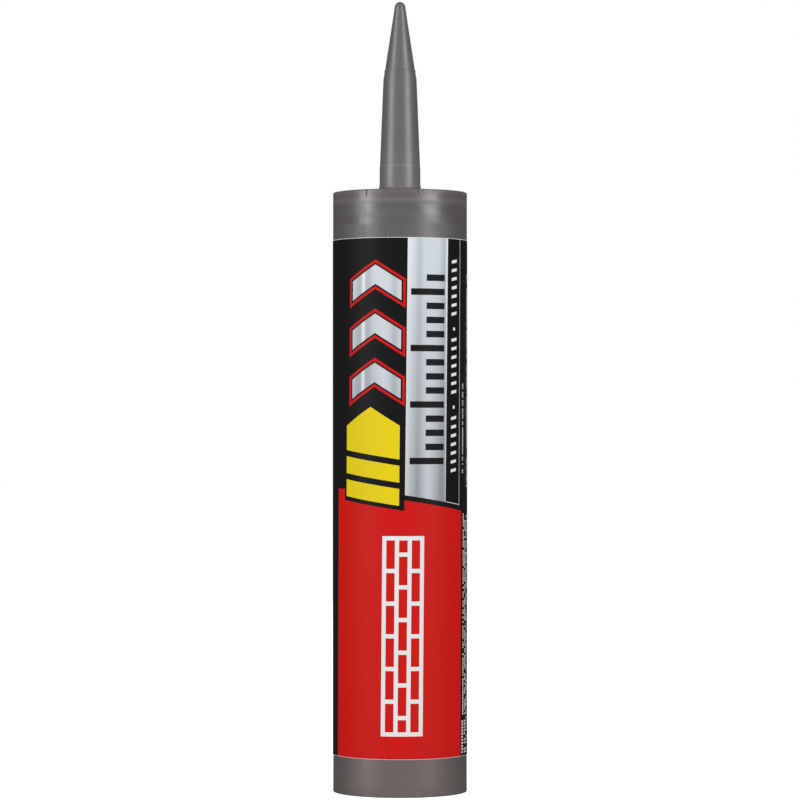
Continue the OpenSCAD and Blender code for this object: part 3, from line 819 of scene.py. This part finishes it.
# Yellow arrow over its bars
arrow_left, arrow_right, arrow_gap, arrow_side = -21.9, -0.3, 1.5, 8.6
bar_t, bar_gap, slope = 6.0, 2.2, 0.62
left_foot, right_foot = edge_left(arrow_left) + arrow_gap, edge_left(arrow_right) + arrow_gap
yellow_shapes = [([(arrow_left, left_foot + lo), (arrow_right, right_foot + lo),
                   (arrow_right, right_foot + lo + bar_t), (arrow_left, left_foot + lo + bar_t)],
                  FIELD) for lo in (0, bar_t + bar_gap)]
arrow_base = 2 * (bar_t + bar_gap)
arrow_eaves = left_foot + arrow_base + arrow_side
arrow_point = arrow_eaves + slope * (arrow_right - arrow_left) / 2
yellow_shapes.append(([(arrow_left, left_foot + arrow_base), (arrow_right, right_foot + arrow_base),
                       (arrow_right, arrow_eaves), ((arrow_left + arrow_right) / 2, arrow_point),
                       (arrow_left, arrow_eaves)], FIELD))

# Chevrons: red, with a black line inside and a silver heart
chevron_x, chevron_w, chevron_t, chevron_pitch = -9.6, 22.0, 10.4, 17.4
keyline, inline = 0.9, 0.6


def chevron(point, inset):
    slant = math.hypot(1, slope)
    half, top, thick = chevron_w / 2 - inset, point - inset * slant, chevron_t - 2 * inset * slant
    fall = slope * half
    return [(chevron_x - half, top - fall - thick), (chevron_x, top - thick),
            (chevron_x + half, top - fall - thick), (chevron_x + half, top - fall),
            (chevron_x, top), (chevron_x - half, top - fall)]


points = [arrow_point + (i + 1) * chevron_pitch for i in range(3)]
red_shapes = [(red_field, FIELD)] + [(chevron(p, 0), FIELD) for p in points]
dark_shapes = [(chevron(p, keyline), MOTIF) for p in points]
silver_shapes = [(silver_stripe, FIELD)] + [(chevron(p, keyline + inline), FINEST) for p in points]
print("arrow's point at", round(arrow_point, 1), "mm, chevrons' at", [round(p, 1) for p in points])

# %% [markdown]
# ## Bricks, gauge and small marks
#
# The bricks lie in running bond: the pale joints are one panel on the red field, and the
# bricks are red shapes on the panel. The gauge has a long bar after every three short
# ones. The small marks stand in three groups with a square between two groups.

# %% Bricks, gauge and small marks
panel_s, panel_w, panel_lo, panel_len, joint_w = -6.2, 15.1, 7.8, 70.8, 1.5
courses, bricks_long = 3, 6
course_w, brick_len = (panel_w - joint_w) / courses, (panel_len - joint_w) / bricks_long
for course in range(courses):
    shift = brick_len / 2 if course % 2 else 0
    for number in range(-1 if course % 2 else 0, bricks_long):
        lo = max(0, number * brick_len + shift)
        hi = min(panel_len - joint_w, (number + 1) * brick_len + shift)
        red_shapes.append((box(panel_s + joint_w + course * course_w, panel_lo + joint_w + lo,
                               course_w - joint_w, hi - lo - joint_w), FINEST))

gauge_right, gauge_rise, gauge_pitch = 16.7, 12.7, 5.0
for number in range(14):
    long_bar = 13.4 if number % 4 == 0 else 7.6
    dark_shapes.append((box(gauge_right - long_bar, red_h + gauge_rise + number * gauge_pitch,
                            long_bar, 2.3), MOTIF))

mark_s, mark_len, mark_t, mark_pitch, marks = 20.3, 3.0, 1.1, 3.1, 7
white_shapes = [(box(panel_s, panel_lo, panel_w, panel_len), MOTIF), (thin_rule, FIELD)]
for group in range(3):
    lo = red_h + 9.7 + group * (marks + 2) * mark_pitch
    for number in range(marks):
        h = lo + number * mark_pitch
        white_shapes.append(([(mark_s, h), (mark_s + mark_len, h + mark_t / 2),
                              (mark_s + mark_len, h + 1.5 * mark_t), (mark_s, h + mark_t)], FIELD))
    if group < 2:
        white_shapes.append((box(mark_s + (mark_len - mark_t) / 2,
                                 lo + (marks + 0.5) * mark_pitch - mark_t / 2, mark_t, mark_t), FIELD))

# %% [markdown]
# ## Back of the label
#
# The back is black with more directions in small print. A table with a yellow head and
# thin white rules breaks it up, and a row of framed squares holds plain patterns of
# boards and tiles, two of the surfaces that such an adhesive is used on.


# %% Table and pattern squares
def frame_lines(s, h, wide, tall, line):
    """The four sides of a thin frame, without overlaps."""
    return [box(s, h, wide, line), box(s, h + tall - line, wide, line),
            box(s, h + line, line, tall - 2 * line),
            box(s + wide - line, h + line, line, tall - 2 * line)]


table_s, table_w, table_h, table_tall, head_w, hair = 61.5, 21.0, 100.0, 74.0, 4.2, 0.3
white_shapes += [(side, FIELD) for side in frame_lines(table_s, table_h, table_w, table_tall, hair)]
yellow_shapes.append((box(table_s + 0.8, table_h + 0.8, head_w - 1.0, table_tall - 1.6), FIELD))
for column in range(1, 5):
    s_rule = table_s + head_w + (column - 1) * 4.2
    white_shapes.append((box(s_rule, table_h + hair, hair, table_tall - 2 * hair), FIELD))

square, squares_s, squares_h = 11.0, -50.0, 104.0
for number in range(5):
    foot = squares_h + number * 14.5
    white_shapes += [(side, FIELD) for side in frame_lines(squares_s, foot, square, square, 0.5)]
    inner_s, inner_h, inner = squares_s + 1.3, foot + 1.3, square - 2.6
    if number % 2 == 0:
        for step in range(3):
            white_shapes.append((box(inner_s, inner_h + step * 3.0, inner, 2.4), FIELD))
    else:
        for step in range(6):
            white_shapes.append((box(inner_s + (step % 2) * 4.4, inner_h + (step // 2) * 3.0, 4.0, 2.4),
                                 FIELD))

red_print, silver_print, yellow_print, dark_print, white_print = [
    rolled_label("print_" + place, shapes, ink) for place, shapes, ink in (
        ("red", red_shapes, red_ink), ("silver", silver_shapes, silver_ink),
        ("yellow", yellow_shapes, yellow_ink), ("black_motifs", dark_shapes, black_ink),
        ("white", white_shapes, white_ink))]

# %% [markdown]
# ## Fine print
#
# Beyond the red field the label carries columns of small directions, far too small to
# read. They are drawn as rows of plain ticks with gaps between words and ragged line
# ends. A tree makes them: a grid of points, some of them taken out by a seeded random
# share to make the gaps, and a small flat tick on each that is left.


# %% Fine print tree
def fine_print_tree():
    tree, given, out = new_tree("rows_of_ticks", {
        "Rows": COUNT, "Row Pitch": LENGTH, "Ticks": COUNT, "Tick Pitch": LENGTH, "Start S": LENGTH,
        "Start H": LENGTH, "Lift": LENGTH, "Seed": COUNT, "Finish": FINISH})
    wide = times(tree, total(tree, given["Rows"], -1.0), given["Row Pitch"])
    tall = times(tree, total(tree, given["Ticks"], -1.0), given["Tick Pitch"])
    grid = add(tree, "GeometryNodeMeshGrid", {"Size X": wide, "Size Y": tall,
                                              "Vertices X": given["Rows"],
                                              "Vertices Y": given["Ticks"]}).outputs["Mesh"]
    dots = put(tree, "GeometryNodeMeshToPoints", {"Mesh": grid})

    index = put(tree, "GeometryNodeInputIndex")
    ratio = put(tree, "ShaderNodeMath", {0: index, 1: given["Ticks"]}, operation="DIVIDE")
    row = put(tree, "ShaderNodeMath", {0: ratio}, operation="FLOOR")
    along = put(tree, "ShaderNodeMath", {0: ratio}, operation="FRACT")
    row_end = add(tree, "FunctionNodeRandomValue", {"Min": 0.82, "Max": 1.0, "ID": row,
                                                    "Seed": given["Seed"]}).outputs["Value"]
    past_end = put(tree, "FunctionNodeCompare", {0: along, 1: row_end}, operation="GREATER_THAN")
    luck = add(tree, "FunctionNodeRandomValue", {"ID": index, "Seed": given["Seed"]}).outputs["Value"]
    gap = put(tree, "FunctionNodeCompare", {0: luck, 1: 0.17}, operation="LESS_THAN")
    out_of = put(tree, "FunctionNodeBooleanMath", {0: past_end, 1: gap}, operation="OR")
    kept = put(tree, "GeometryNodeDeleteGeometry", {"Geometry": dots, "Selection": out_of},
               domain="POINT")

    tick = add(tree, "GeometryNodeMeshGrid", {"Size X": 1.0, "Size Y": 1.0, "Vertices X": 2,
                                              "Vertices Y": 2}).outputs["Mesh"]
    odds = add(tree, "FunctionNodeRandomValue", {"Min": 0.4, "Max": 0.62,
                                                 "Seed": given["Seed"]}).outputs["Value"]
    size = put(tree, "ShaderNodeCombineXYZ", {"X": times(tree, given["Row Pitch"], odds),
                                              "Y": times(tree, given["Tick Pitch"], 0.66),
                                              "Z": 1.0})
    ticks = put(tree, "GeometryNodeInstanceOnPoints", {"Points": kept, "Instance": tick, "Scale": size})
    real = put(tree, "GeometryNodeRealizeInstances", {"Geometry": ticks})
    shift = put(tree, "ShaderNodeCombineXYZ", {
        "X": total(tree, times(tree, wide, 0.5), given["Start S"]),
        "Y": total(tree, times(tree, tall, 0.5), given["Start H"]), "Z": given["Lift"]})
    moved = put(tree, "GeometryNodeSetPosition", {"Geometry": real, "Offset": shift})

    # Lean with the rest of the print, then roll
    height = add(tree, "ShaderNodeSeparateXYZ", {0: put(tree, "GeometryNodeInputPosition")}).outputs["Y"]
    lean = times(tree, total(tree, height, (print_foot - label_mid) * MM), print_lean)
    slid = put(tree, "ShaderNodeCombineXYZ", {"X": lean})
    askew = put(tree, "GeometryNodeSetPosition", {"Geometry": moved, "Offset": slid})
    rolled = put(tree, "GeometryNodeGroup", {"Geometry": askew, "Thickness": ink_t * MM,
                                             "Finish": given["Finish"]}, node_tree=roll_sheet)
    tree.links.new(rolled, out.inputs[0])
    return tree


fine_rows = fine_print_tree()


def fine_print(name, s, h, rows, row_pitch, ticks, tick_pitch, seed):
    return grown(name, bpy.data.meshes.new(name), fine_rows, Rows=rows, Row_Pitch=row_pitch * MM,
                 Ticks=ticks, Tick_Pitch=tick_pitch * MM, Start_S=s * MM, Start_H=h * MM,
                 Lift=(film_t + FIELD * ink_t) * MM, Seed=seed, Finish=white_ink)


fine_prints = [fine_print("fine_print_" + place, *sizes) for place, *sizes in (
    ("large", 28.9, 0.9, 3, 2.3, 12, 1.1, 2), ("low", 29.4, 14.6, 16, 1.8, 89, 0.82, 3),
    ("column", 28.4, 101.0, 1, 1.6, 46, 0.75, 7), ("high", 33.4, 96.0, 13, 1.8, 98, 0.82, 4),
    ("back", 62.0, 8.0, 15, 1.45, 104, 0.82, 5), ("left", -60.0, 8.0, 15, 1.45, 110, 0.82, 6))]

# %% [markdown]
# ## Which body each piece moves with
#
# Everything but the piston belongs to the barrel.

# %% Bodies and replaced nodes
riders = [(barrel, "cartridge", "grey_hdpe", ["cartridge"]), (ribs, "cartridge", "grey_hdpe", []),
          (piston, "piston", "natural_hdpe", ["piston"]), (webs, "piston", "natural_hdpe", []),
          (paste, "cartridge", "paste", ["adhesive"]), (film, "cartridge", "white_film", ["label_film"]),
          (ground, "cartridge", "black_ink", ["ink_black"]), (dark_print, "cartridge", "black_ink", []),
          (red_print, "cartridge", "red_ink", ["ink_red"]),
          (silver_print, "cartridge", "silver_ink", ["ink_silver"]),
          (yellow_print, "cartridge", "yellow_ink", ["ink_yellow"]),
          (white_print, "cartridge", "white_ink", ["ink_white"])]
riders += [(piece, "cartridge", "white_ink", []) for piece in fine_prints]
for piece, body, slot, nodes in riders:
    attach(piece, body)
    if nodes:
        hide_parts(*nodes)
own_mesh(paste)
print(len(riders), "pieces")

# %% [markdown]
# ## Floor and world
#
# The photograph has a white ground. The floor adds a plain glow to what the camera sees of
# it, so that it comes out white and still keeps the object's shadow. From underneath the
# floor is clear, so that the open rear end can be looked at. The world is a plain studio,
# a little brighter in front and below, and brightest straight below, to light the piston.
# It is white for the camera, through anything clear, and for reflections of what is
# level and straight behind the object.


# %% Floor
def white_floor():
    finish, tree, shader = new_finish("studio_floor_white", Roughness=0.9, Specular_IOR_Level=0.0)
    shader.inputs["Base Color"].default_value = linear("#F4F4F4")
    seen = add(tree, "ShaderNodeLightPath").outputs["Is Camera Ray"]
    glow = put(tree, "ShaderNodeEmission", {"Strength": times(tree, seen, 0.88)})
    both = put(tree, "ShaderNodeAddShader", {0: shader.outputs[0], 1: glow})
    clear = put(tree, "ShaderNodeBsdfTransparent")
    below = add(tree, "ShaderNodeNewGeometry").outputs["Backfacing"]
    sides = put(tree, "ShaderNodeMixShader", {0: below, 1: both, 2: clear})
    tree.links.new(sides, tree.nodes["Material Output"].inputs[0])
    return finish


floor_mesh = bpy.data.meshes.new("floor")
floor_mesh.from_pydata([(-6, -6, -0.0001), (6, -6, -0.0001), (6, 6, -0.0001), (-6, 6, -0.0001)],
                       [], [(0, 1, 2, 3)])
floor_mesh.materials.append(white_floor())
floor = bpy.data.objects.new("floor", floor_mesh)
floor.visible_diffuse = False
floor.visible_shadow = False
floor.visible_glossy = False
bpy.context.collection.objects.link(floor)


# %% World
world = bpy.data.worlds.new("studio")
bpy.context.scene.world = world
world.use_nodes = True
sky = world.node_tree
rays = add(sky, "ShaderNodeLightPath").outputs
direction = add(sky, "ShaderNodeTexCoord").outputs["Generated"]
towards = add(sky, "ShaderNodeSeparateXYZ", {0: direction}).outputs
front_fill = ramp(sky, towards["Y"], -1.0, 0.3, 0.46, 0.08)
floor_bounce = times(sky, ramp(sky, towards["Z"], -0.5, 0.1, 0.25, 0.0),
                     ramp(sky, towards["Y"], -0.9, 0.2, 1.0, 0.15))
into_rear = ramp(sky, towards["Z"], -1.0, -0.8, 1.4, 0.0)
fill = total(sky, front_fill, floor_bounce, into_rear)
behind = times(sky, rays["Is Glossy Ray"], ramp(sky, towards["Y"], 0.985, 1.0, 0.0, 1.0),
               ramp(sky, towards["Z"], 0.06, 0.12, 1.0, 0.0))
level = fill
for white in (rays["Is Camera Ray"], rays["Is Transmission Ray"], behind):
    level = put(sky, "ShaderNodeMath", {0: level, 1: white}, operation="MAXIMUM")
backdrop = sky.nodes["Background"]
sky.links.new(level, backdrop.inputs["Strength"])
backdrop.inputs["Color"].default_value = (1, 1, 1, 1)

# %% [markdown]
# ## Lamps
#
# Two tall softboxes stand left and right of the camera and draw the two light streaks on
# the plastic. A third lamp stands high behind the object, so that its back isn't left in
# the dark. It isn't mirrored, or it would draw a white line over the tip.


# %% Lamps
def softbox(name, turn, distance, wide, foot, top, watts, aim_height):
    """A lamp turned from the camera's side round the axis, from a foot height to a top height."""
    data = bpy.data.lights.new(name, "AREA")
    data.shape, data.size, data.size_y, data.energy = "RECTANGLE", wide, top - foot, watts
    lamp = bpy.data.objects.new(name, data)
    bpy.context.collection.objects.link(lamp)
    side = math.radians(turn)
    lamp.location = (distance * math.sin(side), -distance * math.cos(side), (foot + top) / 2)
    lamp.rotation_euler = (Vector((0, 0, aim_height)) - lamp.location).to_track_quat("-Z", "Y").to_euler()
    return lamp


softbox("softbox_left", -59, 0.9, 0.33, -0.02, 1.0, 6.3, 0.49)
softbox("softbox_right", 53, 0.9, 0.38, 0.06, 1.0, 6.4, 0.53)
back_lamp = softbox("back_lamp", 180, 0.75, 0.6, 0.45, 1.15, 16.0, 0.14)
back_lamp.visible_glossy = False

# %% [markdown]
#
# The Standard view shows a colour as it is written.

# %% Finish
bpy.context.scene.view_settings.view_transform = "Standard"
